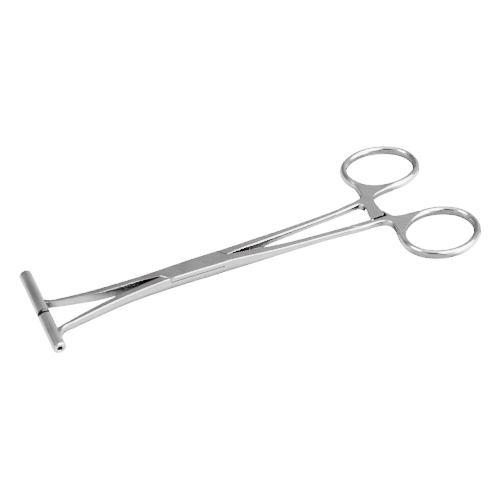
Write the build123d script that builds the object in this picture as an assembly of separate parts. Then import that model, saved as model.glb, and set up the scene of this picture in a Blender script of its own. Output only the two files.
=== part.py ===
from build123d import *
import math
import os

# Ring-handled forceps that carry two short guide tubes across their jaws.
# Worked out with the hinge pin's axis at x = 0, y = 0 and the middle of the thickness at z = 0.
# x runs from the tubes (negative) to the finger rings (positive), far is +y and near is -y.

# Lengths along the instrument, from the hinge pin
pin_to_tube = 55.3
box_length = 26.1
pin_to_ratchet = 73.4
pin_to_ring_centre = 90.6

# Box lock: two plates of the female half with the tongue of the male half between them
box_width = 6.1
box_height = 5.3
plate_corner_x = 10.25
tongue_height = 1.4
tongue_clearance = 0.06
crotch_gap = 0.24
side_bow = 0.25
edge_break = 0.3

# Hinge pin, riveted into countersinks and ground flush
pin_radius = 1.35
pin_head_radius = 1.9
pin_head_height = 0.6
pin_clearance = 0.05

# Jaw arms, each row is a station: share of the arm's length, inner y, outer y, half of the height
jaw_inner_at_foot = 7.0
jaw_outer_at_foot = 11.0
jaw_half_height_at_foot = 1.35
jaw_bow = 0.3
jaw_stations = (
    (0.18, 0.95, 3.12, 2.42),
    (0.37, 1.65, 3.42, 2.22),
    (0.56, 2.70, 4.15, 1.95),
    (0.72, 3.90, 5.15, 1.70),
    (0.84, 4.90, 6.05, 1.50),
    (0.94, 5.95, 7.35, 1.40),
)

# Shanks, each row is a station: share of the shank's length, inner y, outer y, half of the height
shank_bow = 0.35
shank_stations = (
    (0.12, 0.95, 3.52, 2.50),
    (0.22, 1.35, 3.85, 2.30),
    (0.34, 2.00, 4.20, 1.90),
    (0.45, 2.50, 4.55, 1.62),
    (0.59, 3.05, 4.95, 1.48),
    (0.73, 3.55, 5.35, 1.42),
    (0.87, 4.05, 5.85, 1.44),
)
shank_inner_at_web = 4.6
shank_outer_at_web = 6.5
shank_root_inner = 5.4
shank_root_outer = 7.0

# Finger rings, an oval rod bent to an oval
ring_centre_y = 21.2
ring_long_radius = 15.5
ring_short_radius = 11.8
ring_end_radius = 9.9
ring_rod_width = 2.5
ring_rod_height = 3.86
ring_tilt = 2.4

# Web between the shank, the ring and the ratchet arm, ground flat across the rod
web_height = 3.0
web_start = 9.0
web_flat_reach = 7.0
web_flat_run_out = 4.0
web_crotch_x = 75.7
web_crotch_y = 8.2
web_crotch_radius = 1.7
web_ring_side_x = 76.8
web_ring_side_y = 6.3
web_ring_side_radius = 2.6
web_notch_radius = 0.9

# Ratchet arm: half of the thickness, teeth on the face that meets the other arm
ratchet_width = 6.0
ratchet_taper = 1.4
ratchet_reach = 5.0
ratchet_tip_gap = 0.7
ratchet_tip_radius = 1.1
tooth_pitch = 1.2
tooth_count = 4
tooth_height = 0.6
tooth_clearance = 0.06
ratchet_notch_margin = 0.5

# Guide tubes, across the ends of the arms
tube_diameter = 4.62
tube_bore = 2.0
tube_chamfer = 0.35
bore_chamfer = 0.15
tube_gap = 0.7
tube_gap_y = 2.0
far_tube_length = 22.1
near_tube_length = 16.3

# Sizes that follow from the values above
half_box = box_length / 2
half_width = box_width / 2
half_height = box_height / 2
slot_half = tongue_height / 2
tongue_half = slot_half - tongue_clearance
web_half = web_height / 2
jaw_length = pin_to_tube - half_box - tube_diameter / 4
ratchet_left = pin_to_ratchet - ratchet_width / 2
ratchet_right = pin_to_ratchet + ratchet_width / 2
shank_length = pin_to_ratchet - web_start - half_box
crotch = crotch_gap / 2
# taller and wider than any piece, for cutting shapes
beyond = 2 * box_height


def section(x, inner, outer, half, inner_bow, outer_bow):
    """Closed cross-section at x: flat top and bottom, broken edges, sides bowed or straight."""
    way = 1 if outer > inner else -1
    cut = way * edge_break
    low = half - edge_break
    middle_out = outer + way * outer_bow
    middle_in = inner - way * inner_bow
    outer_side = ThreePointArc((outer, low), (middle_out, 0), (outer, -low))
    inner_side = Line((inner, -low), (inner, low))
    if inner_bow:
        inner_side = ThreePointArc((inner, -low), (middle_in, 0), (inner, low))
    under = Polyline((outer, -low), (outer - cut, -half), (inner + cut, -half), (inner, -low))
    over = Polyline((inner, low), (inner + cut, half), (outer - cut, half), (outer, low))
    return Plane.YZ.offset(x) * make_face(outer_side + under + inner_side + over)


def jaw(side):
    """Arm from the box to its foot, on the far side (1) or the near side (-1)."""
    faces = [section(-half_box, side * crotch, side * half_width, half_height, 0, side_bow)]
    for share, inner, outer, half in jaw_stations:
        x = -half_box - share * jaw_length
        faces.append(section(x, side * inner, side * outer, half, 0, jaw_bow))
    x = -half_box - jaw_length
    inner = side * jaw_inner_at_foot
    outer = side * jaw_outer_at_foot
    faces.append(section(x, inner, outer, jaw_half_height_at_foot, 0, jaw_bow))
    return loft(faces)


def shank(side):
    """Arm from the box to the web of its ring, and its root inside the web."""
    faces = [section(half_box, side * crotch, side * half_width, half_height, 0, side_bow)]
    for share, inner, outer, half in shank_stations:
        x = half_box + share * shank_length
        faces.append(section(x, side * inner, side * outer, half, shank_bow * share, shank_bow))
    x = half_box + shank_length
    last = section(x, side * shank_inner_at_web, side * shank_outer_at_web, web_half, shank_bow, shank_bow)
    faces.append(last)
    root = section(pin_to_ratchet, side * shank_root_inner, side * shank_root_outer, web_half, shank_bow, shank_bow)
    return loft(faces) + loft([last, root])


def ring_plane(side):
    """Plane of a finger ring, its x along the long axis."""
    angle = math.radians(-side * ring_tilt)
    x_axis = (math.cos(angle), math.sin(angle), 0)
    return Plane(origin=(pin_to_ring_centre, side * ring_centre_y, 0), x_dir=x_axis, z_dir=(0, 0, 1))


def toward_hole(side):
    """Plane at the ratchet arm, x towards the middle of the finger ring and z up."""
    x_axis = (pin_to_ring_centre - pin_to_ratchet, side * (ring_centre_y - shank_outer_at_web), 0)
    return Plane(origin=(pin_to_ratchet, side * shank_outer_at_web, 0), x_dir=x_axis, z_dir=(0, 0, 1))


def flats(side):
    """What is ground off above and below the web, running out along the rod."""
    plane = toward_hole(side)
    upright = Plane(origin=plane.origin, x_dir=plane.x_dir, z_dir=-plane.y_dir)
    end = web_flat_reach + web_flat_run_out
    rise = ring_rod_height / 2 + edge_break
    top = Polyline((-end, web_half), (web_flat_reach, web_half), (end, rise), (end, beyond), (-end, beyond), close=True)
    above = extrude(upright * make_face(top), ring_centre_y, both=True)
    return above + mirror(above, Plane.XY)


def bend(plane, centre_x, centre_y, radius, first, last):
    """Piece of the oval rod, bent about a centre in the ring's plane from one angle to another."""
    radial = Vector(math.cos(math.radians(first)), math.sin(math.radians(first)), 0)
    centre = Vector(centre_x, centre_y, 0)
    start = plane.from_local_coords(centre + radial * radius)
    outward = start - plane.from_local_coords(centre)
    section_plane = Plane(origin=start, x_dir=outward, z_dir=plane.z_dir.cross(outward))
    rod = section_plane * Ellipse(ring_rod_width / 2, ring_rod_height / 2)
    return revolve(rod, Axis(plane.from_local_coords(centre), plane.z_dir), last - first)


def ring(side):
    """Finger ring: the oval rod bent to two end arcs and two flatter side arcs that meet smoothly."""
    plane = ring_plane(side)
    end_x = ring_long_radius - ring_end_radius
    side_y = (end_x**2 - (ring_short_radius - ring_end_radius)**2) / (2 * (ring_short_radius - ring_end_radius))
    side_radius = ring_short_radius + side_y
    turn = math.degrees(math.atan2(side_y, end_x))
    rod = bend(plane, end_x, 0, ring_end_radius, -turn, turn)
    rod += bend(plane, 0, -side_y, side_radius, turn, 180 - turn)
    rod += bend(plane, -end_x, 0, ring_end_radius, 180 - turn, 180 + turn)
    rod += bend(plane, 0, side_y, side_radius, 180 + turn, 360 - turn)
    return rod - flats(side)


def web(side):
    """Flat plate that joins shank, ring and ratchet arm, open at the finger hole."""
    rod = ring_rod_width / 2
    ring_foot = ring_centre_y - ring_short_radius
    start_x = pin_to_ratchet - web_start + rod
    corners = [
        (start_x, shank_inner_at_web + 2 * edge_break),
        (ratchet_left + ratchet_taper, shank_inner_at_web),
        (ratchet_left, -ratchet_reach),
        (ratchet_right, -ratchet_reach + ratchet_tip_gap / 2),
        (web_ring_side_x, web_ring_side_y),
        (pin_to_ring_centre - rod, ring_foot - rod / 4),
        (pin_to_ring_centre - rod, ring_foot + rod),
        (web_crotch_x + rod, ring_centre_y - rod),
        (web_crotch_x - rod, ring_centre_y - rod),
        (web_crotch_x, web_crotch_y),
        (start_x, shank_outer_at_web - edge_break),
    ]
    points = []
    for x, y in corners:
        points.append((x, side * y))
    outline = make_face(Polyline(points, close=True))
    radii = (
        (1, web_notch_radius),
        (2, ratchet_tip_radius),
        (3, ratchet_tip_radius),
        (4, web_ring_side_radius),
        (9, web_crotch_radius),
    )
    for index, radius in radii:
        corner = outline.vertices().sort_by_distance((*points[index], 0))[0]
        outline = fillet(corner, radius)
    plate = extrude(outline, web_half, both=True)
    rims = plate.faces().sort_by(Axis.Z)[-1].edges() + plate.faces().sort_by(Axis.Z)[0].edges()
    plate = chamfer(rims, edge_break)
    return plate - extrude(ring_plane(side) * Ellipse(ring_long_radius, ring_short_radius), beyond, both=True)


def ratchet_cut(side):
    """Room for the other arm, with this arm's teeth left standing on its inner face."""
    up = side
    tip = tooth_clearance
    root = tooth_clearance + tooth_height
    wall = ratchet_reach + ratchet_tip_gap
    outside = -ratchet_reach - web_height
    profile = [(wall, -beyond), (wall, root)]
    first = -ratchet_reach + tooth_count * tooth_pitch
    profile.append((first, root))
    for number in range(tooth_count):
        y = first - number * tooth_pitch
        profile.append((y - tooth_pitch / 4, tip))
        profile.append((y - tooth_pitch, root))
    profile.append((outside, root))
    profile.append((outside, -beyond))
    points = []
    for y, z in profile:
        points.append((side * y, up * z))
    start = ratchet_left - ratchet_notch_margin
    width = ratchet_width + 2 * ratchet_notch_margin
    return extrude(Plane.YZ.offset(start) * make_face(Polyline(points, close=True)), width)


def prism(points, low, high):
    """Upright prism over a plan outline."""
    return extrude(Plane.XY.offset(low) * make_face(Polyline(points, close=True)), high - low)


def tube(length, start):
    """Guide tube along y, bored through, with chamfered ends."""
    radius = tube_diameter / 2
    bore = tube_bore / 2
    end = start + length
    profile = Polyline(
        (bore, start + bore_chamfer),
        (bore + bore_chamfer, start),
        (radius - tube_chamfer, start),
        (radius, start + tube_chamfer),
        (radius, end - tube_chamfer),
        (radius - tube_chamfer, end),
        (bore + bore_chamfer, end),
        (bore, end - bore_chamfer),
        close=True,
    )
    return Pos(-pin_to_tube, 0, 0) * revolve(make_face(profile), Axis.Y)


# Bar that gives both sides of the box their bowed shape
bar = extrude(section(-half_box, -half_width, half_width, half_height, side_bow, side_bow), box_length)
outside_y = half_width + 2 * side_bow

# The slanting ends of the plates and of the tongue run from the crotches to the long sides.
# The two halves keep the crotch gap between them, measured along y.
slope = half_width / (half_box - plate_corner_x)
plate_end_x = half_box - (outside_y + crotch) / slope
shoulder_x = half_box - (outside_y - crotch) / slope

# Plan of the two plates
plates_plan = [
    (-half_box, crotch),
    (-plate_end_x, -outside_y),
    (half_box, -outside_y),
    (half_box, -crotch),
    (plate_end_x, outside_y),
    (-half_box, outside_y),
]
plates = bar & prism(plates_plan, -half_height, half_height)

# Mortise through the plates: open on both long sides, ended by slanting walls
mortise_plan = [
    (-half_box, crotch),
    (-half_box, -outside_y),
    (shoulder_x, -outside_y),
    (half_box, -crotch),
    (half_box, outside_y),
    (-shoulder_x, outside_y),
]
mortise = prism(mortise_plan, -slot_half, slot_half)

# Tongue of the male half, and the two full-height shoulders at its ends
tongue_plan = [
    (-half_box, -crotch),
    (-half_box, -outside_y),
    (plate_end_x, -outside_y),
    (half_box, crotch),
    (half_box, outside_y),
    (-plate_end_x, outside_y),
]
tongue = bar & prism(tongue_plan, -tongue_half, tongue_half)
jaw_shoulder_plan = [
    (-half_box, -crotch),
    (-half_box, -outside_y),
    (-shoulder_x, -outside_y),
]
shank_shoulder_plan = [
    (half_box, crotch),
    (half_box, outside_y),
    (shoulder_x, outside_y),
]
jaw_shoulder = bar & prism(jaw_shoulder_plan, -half_height, half_height)
shank_shoulder = bar & prism(shank_shoulder_plan, -half_height, half_height)

# Hinge pin with its two countersunk heads
head_start = half_height - pin_head_height
pin_profile = Polyline(
    (0, -half_height),
    (pin_head_radius, -half_height),
    (pin_radius, -head_start),
    (pin_radius, head_start),
    (pin_head_radius, half_height),
    (0, half_height),
    close=True,
)
pin = revolve(Plane.XZ * make_face(pin_profile), Axis.Z)
pin_bore = Cylinder(pin_radius + pin_clearance, box_height)

# The two guide tubes, and the space that each arm's foot is coped to
far_tube = tube(far_tube_length, tube_gap_y + tube_gap / 2)
near_tube = tube(near_tube_length, tube_gap_y - tube_gap / 2 - near_tube_length)
tube_space = Pos(-pin_to_tube, 0, 0) * Rot(90, 0, 0) * Cylinder(tube_diameter / 2, 2 * pin_to_tube)

# Female half: far jaw, slotted box, near shank and near ring
female_half = plates + jaw(1) + shank(-1) + web(-1) + ring(-1)
female_half = female_half - mortise - ratchet_cut(-1) - tube_space - pin

# Male half: near jaw, tongue, far shank and far ring
male_half = tongue + jaw_shoulder + shank_shoulder + jaw(-1) + shank(1) + web(1) + ring(1)
male_half = male_half - ratchet_cut(1) - tube_space - pin_bore

# The origin is under the middle of the instrument, on the surface that the box lock rests on
tube_end = -pin_to_tube - tube_diameter / 2
ring_end = female_half.bounding_box().max.X
middle_x = (tube_end + ring_end) / 2
to_origin = Pos(-middle_x, 0, half_height)

nodes = {
    "female_half": female_half,
    "male_half": male_half,
    "box_lock_pin": pin,
    "far_tube": far_tube,
    "near_tube": near_tube,
}

os.makedirs("parts", exist_ok=True)
for name, shape in nodes.items():
    export_step(to_origin * shape, f"parts/{name}.step")
print("hinge pin at x", -middle_x, "z", half_height)
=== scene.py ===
import math

import bmesh
import bpy
import numpy as np
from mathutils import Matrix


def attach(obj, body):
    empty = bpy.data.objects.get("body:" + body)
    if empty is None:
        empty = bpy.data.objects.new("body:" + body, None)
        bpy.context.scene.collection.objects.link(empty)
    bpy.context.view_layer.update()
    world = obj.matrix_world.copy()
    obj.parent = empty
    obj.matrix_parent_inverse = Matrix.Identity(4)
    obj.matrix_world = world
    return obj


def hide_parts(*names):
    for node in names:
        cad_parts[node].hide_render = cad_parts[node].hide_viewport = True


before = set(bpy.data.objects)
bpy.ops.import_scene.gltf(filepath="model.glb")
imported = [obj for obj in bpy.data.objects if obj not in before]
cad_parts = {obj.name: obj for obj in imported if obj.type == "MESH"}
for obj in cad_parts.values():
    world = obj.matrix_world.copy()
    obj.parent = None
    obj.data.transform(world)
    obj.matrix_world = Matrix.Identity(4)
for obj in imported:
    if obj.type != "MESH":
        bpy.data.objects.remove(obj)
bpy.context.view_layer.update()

import openvdb
from mathutils import Matrix

MM = 0.001
# The hinge pin's axis, which the lengths below are measured from
PIN_X = -24.8675
PIN_Z = 2.65


def linear(hex_colour):
    """An sRGB hex colour as linear red, green, blue and alpha."""
    values = [int(hex_colour[i:i + 2], 16) / 255 for i in (1, 3, 5)]
    return [v / 12.92 if v < 0.04045 else ((v + 0.055) / 1.055) ** 2.4 for v in values] + [1.0]


def node(tree, kind, inputs=(), **settings):
    """Adds a node, sets its properties, and sets or links its inputs by name or number."""
    made = tree.nodes.new(kind)
    for key, value in settings.items():
        setattr(made, key, value)
    for key, value in dict(inputs).items():
        if isinstance(value, bpy.types.NodeSocket):
            tree.links.new(value, made.inputs[key])
        else:
            made.inputs[key].default_value = value
    return made


def blank(name):
    """A new node-based material, empty but for its output."""
    material = bpy.data.materials.new(name)
    material.use_nodes = True
    tree = material.node_tree
    tree.nodes.clear()
    output = tree.nodes.new("ShaderNodeOutputMaterial")
    return material, tree, output


def dress(obj, material):
    """Gives a piece its one material."""
    obj.data.materials.clear()
    obj.data.materials.append(material)


# Upward share of a face's normal from which it counts as ground, and at which it is ground in full
FLAT_FROM, FLAT_FULL = 0.985, 0.998


def steel(name, colour, flat_roughness, side_roughness, grain, turn, darkest, bump, side_bump, reach, crevice, gap_shade):
    """Stainless steel: satin where it is ground flat, polished elsewhere, with fine grinding lines and with painted
    shade in crevices.

    grain is the lines' cells per metre along x, y and z, once they are turned about z. reach is how far the painted
    crevice shade looks for other surfaces, and crevice the shares of open view between which this painted shade goes
    from dark to plain. The last argument gives the middle and the half width of a gap across y with painted shade.
    """
    material, tree, output = blank(name)
    place = node(tree, "ShaderNodeTexCoord").outputs["Object"]
    turned = node(tree, "ShaderNodeVectorRotate", {"Vector": place, "Angle": turn}, rotation_type="Z_AXIS").outputs[0]
    lines = node(tree, "ShaderNodeMapping", {"Vector": turned, "Scale": grain}).outputs[0]
    fine = node(tree, "ShaderNodeTexNoise", {"Vector": lines, "Scale": 1.0, "Detail": 4.0, "Roughness": 0.6})
    broad = node(tree, "ShaderNodeTexNoise", {"Vector": place, "Scale": 110.0, "Detail": 3.0})
    tone = node(tree, "ShaderNodeMapRange", {"Value": fine.outputs[0], 1: 0.3, 2: 0.7, 3: darkest, 4: 1.0})
    patch = node(tree, "ShaderNodeMapRange", {"Value": broad.outputs[0], 1: 0.35, 2: 0.65, 3: 0.90, 4: 1.04})
    # Painted shade: the colour goes dark where little of the view within reach is open, in crevices and between the
    # halves
    open_share = node(tree, "ShaderNodeAmbientOcclusion", {"Distance": reach}, samples=32).outputs["AO"]
    shade = node(tree, "ShaderNodeMapRange", {"Value": open_share, 1: crevice[0], 2: crevice[1], 3: 0.02, 4: 1.0})
    # Painted shade: the colour goes dark in the gap between the two tubes' ends
    across = node(tree, "ShaderNodeSeparateXYZ", {0: place}).outputs[1]
    across = node(tree, "ShaderNodeMath", {0: across, 1: gap_shade[0]}, operation="SUBTRACT").outputs[0]
    across = node(tree, "ShaderNodeMath", {0: across}, operation="ABSOLUTE").outputs[0]
    dark = node(tree, "ShaderNodeMapRange", {"Value": across, 1: gap_shade[1], 2: gap_shade[1] + 0.0002, 3: 0.06, 4: 1.0})
    grey = tone.outputs[0]
    for share in (patch, shade, dark):
        grey = node(tree, "ShaderNodeMath", {0: grey, 1: share.outputs[0]}, operation="MULTIPLY").outputs[0]
    tint = node(tree, "ShaderNodeMix", {0: 1.0, 6: linear(colour), 7: grey}, data_type="RGBA", blend_type="MULTIPLY")
    # Where the face lies level it is ground, and elsewhere it is polished
    normal = node(tree, "ShaderNodeNewGeometry").outputs["Normal"]
    upright = node(tree, "ShaderNodeSeparateXYZ", {0: normal}).outputs[2]
    level = node(tree, "ShaderNodeMath", {0: upright}, operation="ABSOLUTE").outputs[0]
    ground = node(tree, "ShaderNodeMapRange", {"Value": level, 1: FLAT_FROM, 2: FLAT_FULL, 3: side_roughness,
                                               4: flat_roughness})
    uneven = node(tree, "ShaderNodeMapRange", {"Value": broad.outputs[0], 1: 0.3, 2: 0.7, 3: 0.85, 4: 1.15})
    rough = node(tree, "ShaderNodeMath", {0: ground.outputs[0], 1: uneven.outputs[0]}, operation="MULTIPLY")
    depth = node(tree, "ShaderNodeMapRange", {"Value": level, 1: FLAT_FROM, 2: FLAT_FULL, 3: side_bump, 4: bump})
    relief = node(tree, "ShaderNodeBump", {"Strength": depth.outputs[0], "Distance": 0.02 * MM,
                                           "Height": fine.outputs[0]})
    shader = node(tree, "ShaderNodeBsdfPrincipled", {
        "Base Color": tint.outputs[2], "Metallic": 1.0, "Roughness": rough.outputs[0],
        "Normal": relief.outputs[0],
    })
    tree.links.new(shader.outputs[0], output.inputs[0])
    return material


# Forged stainless steel, its flats ground satin across at 45 degrees and its sides and rings polished. The flats look
# an even soft grey, and the sides mirror the tent in streaks. Real grinding lines are about 0.05 mm apart, too fine
# to show, so they are drawn 0.67 mm wide and 9 mm long. Crevices within 3.5 mm get painted shade.
forged = steel("satin_and_polished_stainless", "#d6d3d4", flat_roughness=0.20, side_roughness=0.07,
               grain=(110.0, 1500.0, 1500.0), turn=math.radians(45), darkest=0.76, bump=0.30, side_bump=0.0,
               reach=0.0035, crevice=(0.17, 0.38), gap_shade=(1.0, 0.0))
# Drawn stainless tube, brushed lengthwise, which spreads its highlight into one soft band along it. The brushing is
# drawn 0.9 mm wide and 45 mm long, coarser than the real one, so that it shows. The gap between the two tubes' ends
# and crevices within 1.2 mm get painted shade.
tubing = steel("brushed_stainless_tube", "#d6d3d3", flat_roughness=0.22, side_roughness=0.22,
               grain=(1100.0, 22.0, 1100.0), turn=0.0, darkest=0.66, bump=1.0, side_bump=1.0,
               reach=0.0012, crevice=(0.60, 0.94), gap_shade=(0.0022, 0.0007))
for name in ("female_half", "male_half", "box_lock_pin"):
    dress(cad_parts[name], forged)
for name in ("far_tube", "near_tube"):
    dress(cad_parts[name], tubing)


# Shapes are in millimetres from the hinge pin. x runs from the tubes to the rings, and "out" is the distance from the
# middle plane on a half's own side. A side is 1, the far one, or -1, the near one.

# The box lock: half of its length and height, and where its slanting ends reach its long sides
HALF_BOX, BOX_HIGH, SLANT_END = 13.05, 2.65, 10.25
SLOPE = 3.05 / (HALF_BOX - SLANT_END)
# Cosines that turn a rounded edge's inset, square to the slant, into one along x and one along y
ALONG_X, ALONG_Y = 0.74, 0.68
# Gap between the halves at the crotch, half heights of the slot and of the tongue, and how far the tongue stands back
CROTCH, SLOT, TONGUE, TONGUE_BACK = 0.12, 0.70, 0.64, 0.04
# Bow of the long sides, and rounding of their edges and of the slanting ends'
BOX_BOW, ROUND, END_ROUND = 0.25, 0.34, 0.28
# Groove over the tongue's mouth, and the pin's head
GROOVE_HIGH, GROOVE_DEEP, GROOVE_END = 0.46, 0.80, 10.4
PIN_HEAD = 1.9
# How far the box's top edge stands out along x
BOX_X = (-13.05, -9.0, -3.0, 0.0, 3.0, 9.0, 13.05)
BOX_OUT = {1: (3.50, 3.65, 3.74, 3.76, 3.74, 3.65, 3.55), -1: (2.80, 2.80, 2.93, 3.05, 3.20, 3.38, 3.45)}

# Stations of the arms: x, inner side, outer side, half of the height, bows of the inner and the outer side, and the
# rounding of the outer edges
JAW = {1: (
    (-13.05, 0.12, 3.50, 2.65, 0.00, 0.25, 0.34), (-20.45, 1.45, 3.82, 2.28, 0.00, 0.28, 0.34),
    (-28.25, 1.90, 4.30, 2.08, 0.00, 0.30, 0.34), (-36.06, 2.50, 4.83, 1.93, 0.00, 0.30, 0.36),
    (-42.64, 3.82, 5.58, 1.78, 0.00, 0.30, 0.38), (-47.57, 4.80, 6.35, 1.65, 0.00, 0.30, 0.38),
    (-51.68, 5.90, 7.40, 1.55, 0.00, 0.30, 0.38), (-54.15, 6.60, 9.60, 1.50, 0.00, 0.30, 0.38),
), -1: (
    (-13.05, 0.12, 2.80, 2.56, 0.00, 0.25, 0.34), (-20.45, 0.60, 3.05, 2.26, 0.00, 0.28, 0.34),
    (-28.25, 1.45, 3.66, 2.06, 0.00, 0.30, 0.34), (-36.06, 2.52, 4.68, 1.92, 0.00, 0.30, 0.36),
    (-42.64, 3.85, 5.77, 1.80, 0.00, 0.30, 0.38), (-47.57, 4.98, 6.63, 1.70, 0.00, 0.30, 0.38),
    (-51.68, 6.05, 7.80, 1.60, 0.00, 0.30, 0.38), (-54.15, 7.00, 11.3, 1.55, 0.00, 0.30, 0.38),
)}
SHANK = {1: (
    (13.05, 0.12, 3.55, 2.56, 0.00, 0.25, 0.34), (19.21, 0.95, 3.78, 2.32, 0.04, 0.30, 0.36),
    (24.35, 1.28, 4.18, 2.05, 0.08, 0.34, 0.38), (30.51, 1.85, 4.50, 1.70, 0.12, 0.36, 0.40),
    (36.16, 2.25, 4.65, 1.52, 0.16, 0.36, 0.42), (43.35, 2.70, 4.94, 1.37, 0.20, 0.36, 0.42),
    (50.54, 3.15, 5.25, 1.28, 0.25, 0.36, 0.42), (57.72, 3.55, 5.50, 1.33, 0.30, 0.36, 0.42),
    (64.40, 4.05, 5.95, 1.44, 0.35, 0.36, 0.45), (73.40, 5.10, 6.80, 1.50, 0.35, 0.40, 0.50),
), -1: (
    (13.05, 0.12, 3.45, 2.65, 0.00, 0.25, 0.34), (19.21, 0.75, 3.92, 2.34, 0.04, 0.30, 0.36),
    (24.35, 1.12, 4.33, 2.05, 0.08, 0.34, 0.38), (30.51, 1.82, 4.74, 1.70, 0.12, 0.36, 0.40),
    (36.16, 2.45, 5.06, 1.52, 0.16, 0.36, 0.42), (43.35, 3.05, 5.44, 1.37, 0.20, 0.36, 0.42),
    (50.54, 3.58, 5.88, 1.28, 0.25, 0.36, 0.42), (57.72, 4.13, 6.48, 1.33, 0.30, 0.36, 0.42),
    (64.40, 4.72, 7.15, 1.44, 0.35, 0.36, 0.45), (73.40, 5.45, 7.30, 1.50, 0.35, 0.40, 0.50),
)}
# Rounding of the inner edges at the crotch and further along the shank
INNER_ROUND = ((14.0, 0.10), (28.0, 0.36))
# A jaw's foot slides onto its tube from FOOT_START to JAW_END, and a shank is lofted as far as LOFT_END
FOOT_START, JAW_END, LOFT_END, LOFT_STEP = -50.0, -53.0, 60.0, 0.7
TUBE_X, TUBE_RADIUS = -55.3, 2.31

# Web between shank, ratchet arm and ring, seen from above. The lower arm's left edge lies under the upper arm.
WEB_LEFT = {1: (
    (62.0, 5.0), (64.0, 6.0), (69.0, 6.6), (72.3, 7.5), (73.8, 8.3), (74.5, 9.5), (74.9, 11.0), (75.2, 13.0),
    (75.8, 15.5), (79.0, 15.0),
), -1: (
    (62.0, 5.5), (64.0, 6.5), (70.0, 7.1), (73.6, 7.75), (75.3, 8.4), (76.3, 9.5), (76.7, 10.9), (76.6, 12.6),
    (76.1, 14.6), (75.5, 17.2), (75.6, 19.6), (77.6, 21.0), (79.0, 18.0),
)}
WEB_RIGHT = ((84.0, 12.0), (89.0, 10.0), (88.6, 8.4), (83.2, 7.65), (80.3, 7.0))
# Where the web ends towards the ratchet arm
WEB_END = {1: (
    (78.2, 5.9), (77.4, 3.8), (77.15, 2.4), (77.00, 1.0), (76.95, 0.0), (71.75, 0.0), (71.95, 1.0), (72.05, 2.2),
    (71.95, 3.2), (71.0, 4.4), (69.0, 4.85), (64.0, 4.75), (62.0, 4.6),
), -1: (
    (79.2, 6.35), (78.7, 5.5), (78.2, 4.4), (77.6, 3.2), (77.2, 2.4), (76.8, 1.0), (76.7, 0.0), (73.4, 0.0),
    (73.35, 1.0), (73.3, 2.2), (73.0, 3.3), (71.5, 4.45), (69.0, 4.85), (64.0, 4.75), (62.0, 4.6),
)}
# The ratchet arm from ARM_START to its tip: out, left edge, right edge. The web's stub is cut off right of STUB_X.
ARM_START, STUB_X, STUB_OUT = 2.0, 71.0, 3.4
ARM = {1: (
    (2.6, 72.03, 77.18), (2.0, 72.04, 77.08), (1.0, 71.95, 77.00), (-0.4, 71.65, 76.93), (-2.2, 71.15, 76.88),
    (-3.4, 70.84, 76.82), (-4.0, 70.74, 76.70), (-4.4, 70.82, 76.42), (-4.65, 71.05, 76.05), (-4.80, 71.50, 75.60),
), -1: (
    (2.6, 73.22, 77.28), (2.0, 73.31, 77.07), (1.0, 73.35, 76.80), (-0.4, 73.40, 76.66), (-2.2, 73.50, 76.62),
    (-3.4, 73.58, 76.58), (-4.0, 73.65, 76.45), (-4.4, 73.80, 76.20), (-4.70, 74.10, 75.90), (-4.80, 74.40, 75.60),
)}
# Rounding of the webs' edges by the distance from the middle plane, half of their height, and hollows where the web
# meets the shank and the ring
WEB_ROUND = ((-4.0, 0.18), (-2.0, 0.30), (6.0, 0.30), (8.5, 0.50))
WEB_HIGH, WEB_BLEND, RING_BLEND = 1.5, 0.5, 0.9
# The web's flat faces run onto the ring's rod between these turns from the web's middle, and rise beyond them
FLAT_TURN = {1: (-0.40, 0.25), -1: (-0.85, 0.25)}
FLAT_RISE, FLAT_EDGE = 1.3, 0.15
# Middle line of the rings' rods: the centre, the half lengths, the radius of the ends and the tilt
RING_X, RING_LONG = {1: 90.6, -1: 90.93}, {1: 15.26, -1: 14.93}
RING_OUT, RING_SHORT, RING_END = 21.2, 11.57, 9.7
RING_TILT = math.radians(2.4)
# The turn at which the web meets the ring, and how much nearer to the shank the rod keeps round there
WEB_TURN, BULGE_TURN = -2.19, 0.45
RING_BULGE = {1: 0.6, -1: 0.0}
# Halves of the rod's width and height
ROD_WIDE, ROD_HIGH = 1.45, 1.93
# The notch in each half over the other's ratchet arm: its left and right ends, how far out it reaches, and the left
# part of its floor that has no teeth
NOTCH_LEFT, NOTCH_RIGHT, NOTCH_OUT = {1: 72.3, -1: 70.5}, 77.00, 5.75
PLAIN_X, PLAIN_OUT = 74.0, 3.2
# The ratchet's teeth: their number and pitch, and how far tips and roots stand from the middle height
TEETH, PITCH, TOOTH_TIP, TOOTH_ROOT = 4, 1.2, 0.06, 0.66
TEETH_START, FIRST_TOOTH, FIRST_ROOT = -0.2, -0.5, -1.4


def smooth_through(stations, x):
    """Each column of the stations at x, on cubic Hermite pieces whose slopes are central differences."""
    rows = np.array(sorted(stations))
    knots, values = rows[:, 0], rows[:, 1:]
    slopes = np.gradient(values, knots, axis=0)
    x = np.clip(x, knots[0], knots[-1])
    i = np.clip(np.searchsorted(knots, x) - 1, 0, len(knots) - 2)
    step = knots[i + 1] - knots[i]
    t = (x - knots[i]) / step
    a, b, c, d = 2 * t**3 - 3 * t**2 + 1, t**3 - 2 * t**2 + t, 3 * t**2 - 2 * t**3, t**3 - t**2
    columns = range(values.shape[1])
    return [a * values[i, k] + b * step * slopes[i, k] + c * values[i + 1, k] + d * step * slopes[i + 1, k]
            for k in columns]


def both(a, b, radius):
    """Inside both fields, with the edge between them rounded: the distance from a corner set in by the radius."""
    inner = np.minimum(np.maximum(a, b), -radius)
    return inner + np.hypot(np.maximum(a + radius, 0), np.maximum(b + radius, 0))


def either(a, b, blend):
    """Inside either field, with a soft hollow where they meet: min(a, b) - h^2 * blend / 4, h = 1 - |a - b| / blend."""
    h = np.maximum(blend - np.abs(a - b), 0) / blend
    return np.minimum(a, b) - h * h * blend / 4


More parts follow.
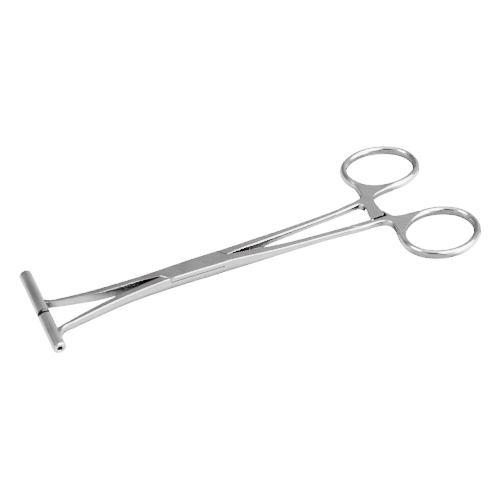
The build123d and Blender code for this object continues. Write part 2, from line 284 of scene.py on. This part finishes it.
def arm(stations, x, out, z, inner_round):
    """Field of an arm whose section is inner < out < outer and |z| < half, with bowed sides: bow * (1 - (z/half)^2)."""
    inner, outer, half, bow_in, bow_out, rounding = smooth_through(stations, x)
    bow = 1 - (z / half) ** 2
    outside = both(out - outer - bow_out * bow, np.abs(z) - half, rounding)
    return both(outside, inner - bow_in * bow - out, inner_round)


def outline_distance(points, x, y):
    """Signed distance from (x, y) to a closed outline, negative inside."""
    nearest = np.full(x.shape, 1e9)
    inside = np.zeros(x.shape, bool)
    for (x0, y0), (x1, y1) in zip(points, np.roll(points, -1, axis=0)):
        dx, dy = x1 - x0, y1 - y0
        t = np.clip(((x - x0) * dx + (y - y0) * dy) / (dx * dx + dy * dy), 0, 1)
        nearest = np.minimum(nearest, np.hypot(x - x0 - t * dx, y - y0 - t * dy))
        if dy:
            inside ^= ((y0 > y) != (y1 > y)) & (x < x0 + (y - y0) * dx / dy)
    return np.where(inside, -nearest, nearest)


def rounded_outline(corners, steps=6):
    """Catmull-Rom curve through the corners of a closed outline."""
    p = np.array(corners)
    t = np.linspace(0, 1, steps, endpoint=False)[:, None]
    pieces = []
    for a, b, c, d in zip(np.roll(p, 1, 0), p, np.roll(p, -1, 0), np.roll(p, -2, 0)):
        pieces.append(b + t * (c - a) / 2 + t**2 * (a - 2.5 * b + 2 * c - d / 2) + t**3 * (1.5 * (b - c) + (d - a) / 2))
    return np.concatenate(pieces)


def ring_distance(x, out, side):
    """Signed distance from the middle line of a ring's rod, and the turn about its centre from the web.

    The line is an oval of two end arcs and two side arcs, which meet where their radii are in line.
    """
    long = RING_LONG[side]
    along = (x - RING_X[side]) * math.cos(RING_TILT) - (out - RING_OUT) * math.sin(RING_TILT)
    across = (x - RING_X[side]) * math.sin(RING_TILT) + (out - RING_OUT) * math.cos(RING_TILT)
    # The far ring's rod keeps nearer to the shank where it passes through the web
    turn = (np.arctan2(across / RING_SHORT, along / long) - WEB_TURN + np.pi) % (2 * np.pi) - np.pi
    bulge = RING_BULGE[side] * np.exp(-(turn / BULGE_TURN) ** 2)
    u, v = np.abs(along), np.abs(across)
    end_x = long - RING_END
    side_y = (end_x**2 - (RING_SHORT - RING_END) ** 2) / (2 * (RING_SHORT - RING_END))
    at_end = np.hypot(u - end_x, v) - RING_END
    at_side = np.hypot(u, v + side_y) - RING_SHORT - side_y
    return np.where((u - end_x) * side_y > v * end_x, at_end, at_side) - bulge, turn


def tooth_height(out):
    """How far the ratchet's face stands from the middle height: straight lines between teeth and roots."""
    knots = [(TEETH_START, TOOTH_ROOT)]
    for n in range(TEETH):
        knots += [(FIRST_TOOTH - PITCH * n, TOOTH_TIP), (FIRST_ROOT - PITCH * n, TOOTH_ROOT)]
    return np.interp(out, *zip(*knots[::-1]))


def ratchet_bar(bm, side):
    """Adds the ratchet arm from the web to its tip, as slices across it.

    A slice goes up from the toothed face at the left edge, round a quarter circle onto the top, and down at the right.
    """
    slices = []
    knots = [TEETH_START] + [k - PITCH * n for n in range(TEETH) for k in (FIRST_TOOTH, FIRST_ROOT)]
    tip = ARM[side][-1][0]
    for out in sorted(set(np.linspace(ARM_START, tip, 28).round(3)) | {k for k in knots if k > tip}, reverse=True):
        left, right = smooth_through(ARM[side], out)
        # The top slopes down over the last 0.15 mm
        top = WEB_HIGH - 0.6 * max(tip + 0.15 - out, 0.0)
        edge = float(np.interp(out, *zip(*WEB_ROUND)))
        turn = np.linspace(0, math.pi / 2, 5)
        points = [(left, float(tooth_height(out)))]
        points += [(left + edge * (1 - math.cos(t)), top - edge * (1 - math.sin(t))) for t in turn]
        points += [(right - edge * (1 - math.cos(t)), top - edge * (1 - math.sin(t))) for t in turn[::-1]]
        points += [(right, float(tooth_height(out)))]
        slices.append([bm.verts.new((x, side * out, side * h)) for x, h in points])
    for upper, lower in zip(slices, slices[1:]):
        for i in range(len(upper)):
            j = (i + 1) % len(upper)
            bm.faces.new((upper[i], upper[j], lower[j], lower[i]))
    bm.faces.new(slices[-1])


def ring_side(x, out, z, side):
    """Field of a half from its shank to its finger ring: shank, web plate and oval rod in one, less the notch.

    The rod is sqrt((distance / width)^2 + (z / height)^2) < 1, cut level where the web's flat faces run onto it.
    """
    plan_x, plan_out = x[:, :, 0], out[:, :, 0]
    middle, turn = [values[:, :, None] for values in ring_distance(plan_x, plan_out, side)]
    rod = (np.sqrt((middle / ROD_WIDE) ** 2 + (z / ROD_HIGH) ** 2) - 1) * ROD_WIDE
    outline = rounded_outline(WEB_LEFT[side] + WEB_RIGHT + WEB_END[side])
    plate = outline_distance(outline, plan_x, plan_out)[:, :, None]
    rounding = np.interp(out, *zip(*WEB_ROUND))
    plate = both(np.maximum(plate, -middle), np.abs(z) - WEB_HIGH, rounding)
    first, last = FLAT_TURN[side]
    ground = np.abs(z) - WEB_HIGH - FLAT_RISE * np.maximum(np.maximum(turn - last, first - turn), 0)
    rod = both(rod, ground, FLAT_EDGE)
    stations = SHANK[side]
    shank = np.maximum(arm(stations, x, out, z, INNER_ROUND[1][1]), x - stations[-1][0])
    field = either(either(shank, plate, WEB_BLEND), rod, RING_BLEND)
    field = np.where(x > stations[-2][0], np.maximum(field, ground), field)
    # The notch over the other half's arm, with the teeth in its floor, short of the arm's left edge
    tooth = np.where((x < PLAIN_X) & (out > PLAIN_OUT), TOOTH_TIP, tooth_height(out))
    room = np.maximum(np.maximum(out - NOTCH_OUT, side * z - tooth),
                      np.maximum(NOTCH_LEFT[side] - x, x - NOTCH_RIGHT))
    return np.maximum(field, -room)


def surface(field, low, high, voxel):
    """Vertices and quads of the field's zero surface, from samples a voxel apart."""
    axes = [np.arange(a, b, voxel, dtype=np.float32) for a, b in zip(low, high)]
    x, out, z = np.meshgrid(*axes, indexing="ij")
    grid = openvdb.FloatGrid(float(voxel))
    grid.copyFromArray(field(x, out, z).astype(np.float32))
    points, _, quads = grid.convertToPolygons(isovalue=0.0, adaptivity=0.0)
    return points * voxel + np.array(low), quads.astype(int)


def section(inner, outer, half, bow_in, bow_out, rounding, inner_round):
    """Points (out, z) round an arm's section, whose bowed sides are out = side +- bow * (1 - (z/half)^2)."""
    def quarter(side, bow, sign, radius):
        # Up the side from the middle, then round the top edge: the arc touches the side at foot and the top at half
        foot = half - radius
        for _ in range(8):
            slope = 2 * bow * foot / half**2
            foot = half - radius + radius * slope / math.hypot(1, slope)
        start = math.atan2(slope, 1)
        mid = side + sign * (bow * (1 - (foot / half) ** 2) - radius * math.cos(start))
        rise = foot - radius * math.sin(start)
        up = [(side + sign * bow * (1 - (z / half) ** 2), z) for z in np.linspace(0, foot, 6)]
        turns = np.linspace(start, math.pi / 2, 7)[1:]
        return up + [(mid + sign * radius * math.cos(t), rise + radius * math.sin(t)) for t in turns]
    right = quarter(outer, bow_out, 1, rounding)
    left = quarter(inner, bow_in, -1, inner_round)
    top = right + left[::-1]
    return top + [(out, -z) for out, z in top[::-1]][1:-1]


def loft(bm, stations, side, start, end):
    """Adds an arm's skin from start to end, as sections joined point by point.

    Along a jaw's foot the points slide in x until they lie on the tube: TUBE_X + sqrt(radius^2 - z^2).
    """
    rings = []
    for x in np.linspace(start, end, int(abs(end - start) / LOFT_STEP) + 2):
        ring = []
        for out, z in section(*smooth_through(stations, x), float(np.interp(x, *zip(*INNER_ROUND)))):
            reach = TUBE_X + math.sqrt(max(TUBE_RADIUS**2 - z * z, 0.0))
            share = min(max((FOOT_START - x) / (FOOT_START - JAW_END), 0.0), 1.0)
            ring.append(bm.verts.new((x + share * (reach - JAW_END), side * out, z)))
        rings.append(ring)
    for lower, upper in zip(rings, rings[1:]):
        for i in range(len(lower)):
            j = (i + 1) % len(lower)
            corners = (lower[i], lower[j], upper[j], upper[i])
            # Outwards, whichever side the arm is on and whichever way it runs
            bm.faces.new(corners if side * (end - start) > 0 else corners[::-1])


def box_side(side, x, z):
    """How far the box's long side stands out at height z: its line + bow * (1 - (z/high)^2), with rounded edges."""
    over = max(abs(z) - BOX_HIGH + ROUND, 0.0)
    bow = BOX_BOW * (1 - (z / BOX_HIGH) ** 2)
    return float(np.interp(x, BOX_X, BOX_OUT[side])) + bow - ROUND + math.sqrt(max(ROUND**2 - over**2, 0.0))


def slanting(out, gap):
    """x of a slanting end at the distance out, a gap along y from the line through the crotch."""
    return HALF_BOX - (out + gap) / SLOPE


def along(side, start, end, z, gap=0.0, groove=0.0):
    """Points of the box's long side from x = start to end. The groove runs along the tongue's mouth."""
    last = -side * GROOVE_END
    inside = [x for x in np.linspace(start, end, 12)[1:-1] if abs(x - last) > 0.3] + [last - 0.05, last + 0.05]
    inside = sorted(inside, reverse=end < start)
    points = []
    for x in [start] + inside + [end]:
        deep = groove if x * side > -GROOVE_END else 0.0
        points.append((x, side * (box_side(side, x, z) - gap - deep)))
    return points


def shoulder(end, side, lift=1.0):
    """Outline at height z of the three-cornered shoulder behind a slanting end, at x of the sign end on one side."""
    def outline(z):
        reach = box_side(side, end * SLANT_END, z * lift)
        return [(end * HALF_BOX, side * CROTCH), (end * slanting(reach, -CROTCH), side * reach),
                (end * HALF_BOX, side * box_side(side, end * HALF_BOX, z * lift))]
    return outline


def block(bm, outline, heights, holes=0.0):
    """Adds a solid whose outline at each height is outline(z). holes is the radius of a round hole in its caps."""
    rings = [[bm.verts.new((x, y, z)) for x, y in outline(z)] for z in heights]
    for lower, upper in zip(rings, rings[1:]):
        for i in range(len(lower)):
            j = (i + 1) % len(lower)
            bm.faces.new((lower[i], lower[j], upper[j], upper[i]))
    for ring, way in ((rings[0], -1), (rings[-1], 1)):
        z = ring[0].co.z
        if holes and abs(abs(z) - BOX_HIGH) < 0.01:
            turn = np.linspace(0, 2 * np.pi, 64, endpoint=False)
            rim = [bm.verts.new((holes * math.cos(a), holes * math.sin(a), z)) for a in turn]
            edges = [bm.edges.get((a, b)) for a, b in zip(ring, ring[1:] + ring[:1])]
            edges += [bm.edges.new((a, b)) for a, b in zip(rim, rim[1:] + rim[:1])]
            filled = bmesh.ops.triangle_fill(bm, edges=edges, use_beauty=True, normal=(0, 0, way))
            for f in filled["geom"]:
                if isinstance(f, bmesh.types.BMFace) and f.normal.z * way < 0:
                    f.normal_flip()
        else:
            bm.faces.new(ring if way > 0 else ring[::-1])


def levels(low, high):
    """Heights from low to high, close together where the box's edges are rounded and at the groove's floor."""
    turn = np.linspace(0, np.pi / 2, 7)
    edge = BOX_HIGH - ROUND + ROUND * np.sin(turn)
    floor = np.array([SLOT + GROOVE_HIGH - 0.01, SLOT + GROOVE_HIGH])
    every = np.concatenate([-edge[::-1], np.linspace(-2.2, 2.2, 9), edge, floor, [low, high]])
    return sorted(set(float(v) for v in every[(every >= low) & (every <= high)].round(4)))


def finish_piece(name, bm, body, material, replaced):
    """Turns the millimetres from the pin into the frame's metres and dresses the piece."""
    for f in bm.faces:
        f.smooth = True
    bmesh.ops.translate(bm, verts=bm.verts, vec=(PIN_X, 0, PIN_Z))
    bmesh.ops.scale(bm, verts=bm.verts, vec=(MM, MM, MM))
    mesh = bpy.data.meshes.new(name)
    bm.to_mesh(mesh)
    bm.free()
    obj = bpy.data.objects.new(name, mesh)
    bpy.context.scene.collection.objects.link(obj)
    mesh.set_sharp_from_angle(angle=math.radians(40))
    even = obj.modifiers.new("even_flats", "WEIGHTED_NORMAL")
    even.keep_sharp = True
    dress(obj, material)
    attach(obj, body)
    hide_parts(replaced)


def add_arm(bm, field, side, low, high, voxel, cut_x):
    """Adds a field's surface on one side, cut off at cut_x and where the ratchet arm goes on as a bar."""
    points, quads = surface(field, low, high, voxel)
    points[:, 1] *= side
    verts = [bm.verts.new(p) for p in points]
    made = []
    for q in quads:
        made.append(bm.faces.new([verts[i] for i in (q if side > 0 else q[::-1])]))
    geometry = verts + made + list(dict.fromkeys(e for f in made for e in f.edges))
    bmesh.ops.bisect_plane(bm, geom=geometry, plane_co=(cut_x, 0, 0), plane_no=(-1, 0, 0), clear_outer=True)
    faces = [f for f in bm.faces if all(v.co.x > STUB_X and side * v.co.y < STUB_OUT for v in f.verts)]
    geometry = list(dict.fromkeys(part for f in faces for part in (*f.verts, *f.edges))) + faces
    bmesh.ops.bisect_plane(bm, geom=geometry, plane_co=(0, side * ARM_START, 0), plane_no=(0, -side, 0),
                           clear_outer=True)


def half_piece(name, jaw, body, voxel):
    """One half of the forceps: jaw is the side of its jaw, and its shank is on the other."""
    bm = bmesh.new()
    shank = -jaw
    low, high = (LOFT_END - 1, 0.6, -2.4), (108.6, 36.2, 2.5)
    add_arm(bm, lambda x, out, z: ring_side(x, out, z, shank), shank, low, high, voxel, LOFT_END)
    ratchet_bar(bm, shank)
    if jaw > 0:
        # Female half: two plates, and what joins them at the two ends
        def plate(z):
            over = max(abs(z) - BOX_HIGH + END_ROUND, 0.0)
            inset = END_ROUND - math.sqrt(max(END_ROUND**2 - over**2, 0.0))
            groove = GROOVE_DEEP if SLOT <= z < SLOT + GROOVE_HIGH else 0.0
            left = inset / ALONG_X - slanting(box_side(-1, -SLANT_END, z), CROTCH)
            right = slanting(box_side(1, SLANT_END, z), CROTCH) - inset / ALONG_X
            mouth = CROTCH + inset / ALONG_Y
            return ([(-HALF_BOX, mouth)] + along(-1, left, HALF_BOX, z, 0.0, groove) + [(HALF_BOX, -mouth)]
                    + along(1, right, -HALF_BOX, z, 0.0, groove))
        block(bm, plate, levels(SLOT, BOX_HIGH), PIN_HEAD)
        block(bm, plate, levels(-BOX_HIGH, -SLOT), PIN_HEAD)
        for end in (-1, 1):
            block(bm, shoulder(end, -end), levels(-SLOT, SLOT))
    else:
        # Male half: the tongue, set back a little, and a shoulder at each of its ends
        def tongue(z):
            left = -slanting(box_side(1, -SLANT_END, z), CROTCH)
            right = slanting(box_side(-1, SLANT_END, z), CROTCH)
            return ([(-HALF_BOX, -CROTCH)] + along(-1, -HALF_BOX, right, z, TONGUE_BACK)
                    + [(HALF_BOX, CROTCH)] + along(1, HALF_BOX, left, z, TONGUE_BACK))
        block(bm, tongue, levels(-TONGUE, TONGUE))
        top = JAW[-1][0][3]
        tall = [z * top / BOX_HIGH for z in levels(-BOX_HIGH, BOX_HIGH)]
        for end in (-1, 1):
            block(bm, shoulder(end, end, BOX_HIGH / top), tall)
    # The lofts come after this, because they are open at their ends, and their faces already point outwards
    bmesh.ops.recalc_face_normals(bm, faces=bm.faces)
    loft(bm, JAW[jaw], jaw, -HALF_BOX, JAW_END)
    loft(bm, SHANK[shank], shank, HALF_BOX, LOFT_END)
    finish_piece(name, bm, body, forged, name.replace("_steel", ""))


VOXEL = 0.15
half_piece("female_half_steel", 1, "female", VOXEL)
half_piece("male_half_steel", -1, "male", VOXEL)


def studio():
    """The pale floor and the light tent. Places on the floor are in metres."""
    bpy.ops.mesh.primitive_plane_add(size=60.0, location=(0, 0, 0))
    floor = bpy.context.object
    floor.name = "floor"
    # A table of lit white acrylic, even and bright to the eye. The steel's reflections see a grey floor instead: a
    # painted reflection.
    material, tree, output = blank("lit_white_acrylic")
    glow = node(tree, "ShaderNodeBsdfPrincipled", {"Base Color": linear("#c4c4c4"), "Roughness": 0.9,
                                                   "Emission Color": linear("#ffffff"), "Emission Strength": 18.0})
    # Painted shade on that reflected grey floor: darker within 4 mm of the steel, in front of the near ring, and from
    # the ratchet to the rings
    free = node(tree, "ShaderNodeAmbientOcclusion", {"Distance": 0.004}, samples=8).outputs["AO"]
    free = node(tree, "ShaderNodeMapRange", {"Value": free, 1: 0.50, 2: 0.85, 3: 0.08, 4: 1.0}).outputs[0]
    place = node(tree, "ShaderNodeTexCoord").outputs["Object"]
    place = node(tree, "ShaderNodeSeparateXYZ", {0: place})
    front = node(tree, "ShaderNodeMapRange", {"Value": place.outputs[1], 1: -0.027, 2: -0.020, 3: 0.14, 4: 0.42})
    # Between the rings and in front of them, not inside them
    aside = node(tree, "ShaderNodeMath", {0: place.outputs[1]}, operation="ABSOLUTE").outputs[0]
    between = node(tree, "ShaderNodeMapRange", {"Value": aside, 1: 0.009, 2: 0.012, 3: 1.0, 4: 0.0})
    before = node(tree, "ShaderNodeMapRange", {"Value": aside, 1: 0.028, 2: 0.031, 3: 0.0, 4: 1.0})
    outside = node(tree, "ShaderNodeMath", {0: between.outputs[0], 1: before.outputs[0]}, operation="MAXIMUM")
    shade = node(tree, "ShaderNodeMapRange", {"Value": outside.outputs[0], 1: 0.0, 2: 1.0, 3: 0.115, 4: 0.15})
    near = node(tree, "ShaderNodeMapRange", {"Value": place.outputs[0], 1: 0.046, 2: 0.056, 3: front.outputs[0],
                                             4: shade.outputs[0]})
    end = node(tree, "ShaderNodeMapRange", {"Value": place.outputs[0], 1: 0.066, 2: 0.073, 3: 0.0, 4: 1.0})
    end = node(tree, "ShaderNodeMath", {0: end.outputs[0], 1: outside.outputs[0]}, operation="MULTIPLY")
    grey = node(tree, "ShaderNodeMath", {0: near.outputs[0], 1: end.outputs[0]}, operation="ADD")
    grey = node(tree, "ShaderNodeMath", {0: grey.outputs[0], 1: free}, operation="MULTIPLY").outputs[0]
    # The grey floor that only the steel's reflections see: painted reflection with painted shade in it
    reflected_floor = node(tree, "ShaderNodeBsdfPrincipled", {"Base Color": grey, "Roughness": 0.9})
    seen = node(tree, "ShaderNodeLightPath").outputs["Is Glossy Ray"]
    table = node(tree, "ShaderNodeMixShader", {0: seen, 1: glow.outputs[0], 2: reflected_floor.outputs[0]})
    tree.links.new(table.outputs[0], output.inputs[0])
    dress(floor, material)

    world = bpy.data.worlds.new("light_tent")
    bpy.context.scene.world = world
    world.use_nodes = True
    tree = world.node_tree
    tree.nodes.clear()
    way = node(tree, "ShaderNodeTexCoord").outputs["Generated"]
    # A white tent: its back wall is in the shade, soft lamps hang high on the right and on the left, and the camera
    # stands in a dark gap
    def toward(direction, start, end, low, high):
        """From low to high as the view into the tent turns towards a direction."""
        share = node(tree, "ShaderNodeVectorMath", {0: way, 1: direction}, operation="DOT_PRODUCT")
        return node(tree, "ShaderNodeMapRange", {"Value": share.outputs["Value"], 1: start, 2: end, 3: low, 4: high},
                    interpolation_type="SMOOTHSTEP").outputs[0]
    # The cloth's grey from the front (0) to the back (1), by the cosine to the back
    back = node(tree, "ShaderNodeVectorMath", {0: way, 1: (-0.2, 0.98, 0.0)}, operation="DOT_PRODUCT")
    share = node(tree, "ShaderNodeMapRange", {"Value": back.outputs["Value"], 1: -1.0, 2: 1.0, 3: 0.0, 4: 1.0})
    ramp = node(tree, "ShaderNodeValToRGB", {0: share.outputs[0]})
    stops = ((0.0, 0.12), (0.5, 0.11), (0.66, 0.105), (0.732, 0.092), (0.775, 0.079), (0.80, 0.052), (0.822, 0.040),
             (0.95, 0.038))
    while len(ramp.color_ramp.elements) < len(stops):
        ramp.color_ramp.elements.new(0.5)
    for element, (place, value) in zip(ramp.color_ramp.elements, stops):
        element.position = place
        element.color = (value, value, value, 1)
    # The lamps, from nothing to their brightness, and the two dark shapes, from clear to their share of light
    right = toward((0.506, -0.658, 0.557), 0.788, 0.866, 0.0, 1.9)
    left = toward((-0.66, -0.06, 0.75), 0.9455, 0.974, 0.0, 2.2)
    low = toward((0.55, -0.83, 0.06), 0.965, 0.985, 0.0, 1.5)
    corner = toward((0.60, 0.70, 0.38), 0.965, 0.992, 0.0, 0.045)
    top = toward((0.16, -0.10, 0.98), 0.90, 0.98, 0.0, 0.35)
    gap = toward((-0.30, -0.80, 0.52), 0.94, 0.975, 1.0, 0.12)
    stand = toward((0.12, -0.97, 0.20), 0.945, 0.975, 1.0, 0.15)
    sky = ramp.outputs[0]
    for lamp in (right, left, top, low, corner):
        sky = node(tree, "ShaderNodeMath", {0: sky, 1: lamp}, operation="ADD").outputs[0]
    for shade in (gap, stand):
        sky = node(tree, "ShaderNodeMath", {0: sky, 1: shade}, operation="MULTIPLY").outputs[0]
    sky = node(tree, "ShaderNodeBackground", {0: sky, 1: 9.0})
    world_out = tree.nodes.new("ShaderNodeOutputWorld")
    tree.links.new(sky.outputs[0], world_out.inputs[0])


def camera():
    """The camera at the photograph's viewing angle, fitted to it: angles in degrees, lengths in millimetres."""
    around, height, roll = np.radians([26.62, 42.93, 0.524])
    # Fitted at 217.8 mm overall, and brought down to the real 165
    distance = 488.56 * 165 / 217.8
    target = np.array([22.5 + PIN_X, 0.955, PIN_Z])
    back = np.array([-np.sin(around) * np.cos(height), -np.cos(around) * np.cos(height), np.sin(height)])
    level = np.array([np.cos(around), -np.sin(around), 0.0])
    up = np.cross(back, level)
    right = np.cos(roll) * level + np.sin(roll) * up
    up = np.cos(roll) * up - np.sin(roll) * level
    where = (target + distance * back) * MM
    data = bpy.data.cameras.new("camera")
    # A focal length of 1009.93 pixels in a picture 500 pixels wide
    data.sensor_width = 36.0
    data.lens = 36.0 * 1009.93 / 500
    data.clip_start = 0.01
    data.clip_end = 20.0
    made = bpy.data.objects.new("camera", data)
    bpy.context.scene.collection.objects.link(made)
    turn = Matrix(np.column_stack([right, up, back]).tolist()).to_4x4()
    made.matrix_world = Matrix.Translation(where.tolist()) @ turn
    bpy.context.scene.camera = made


studio()
camera()
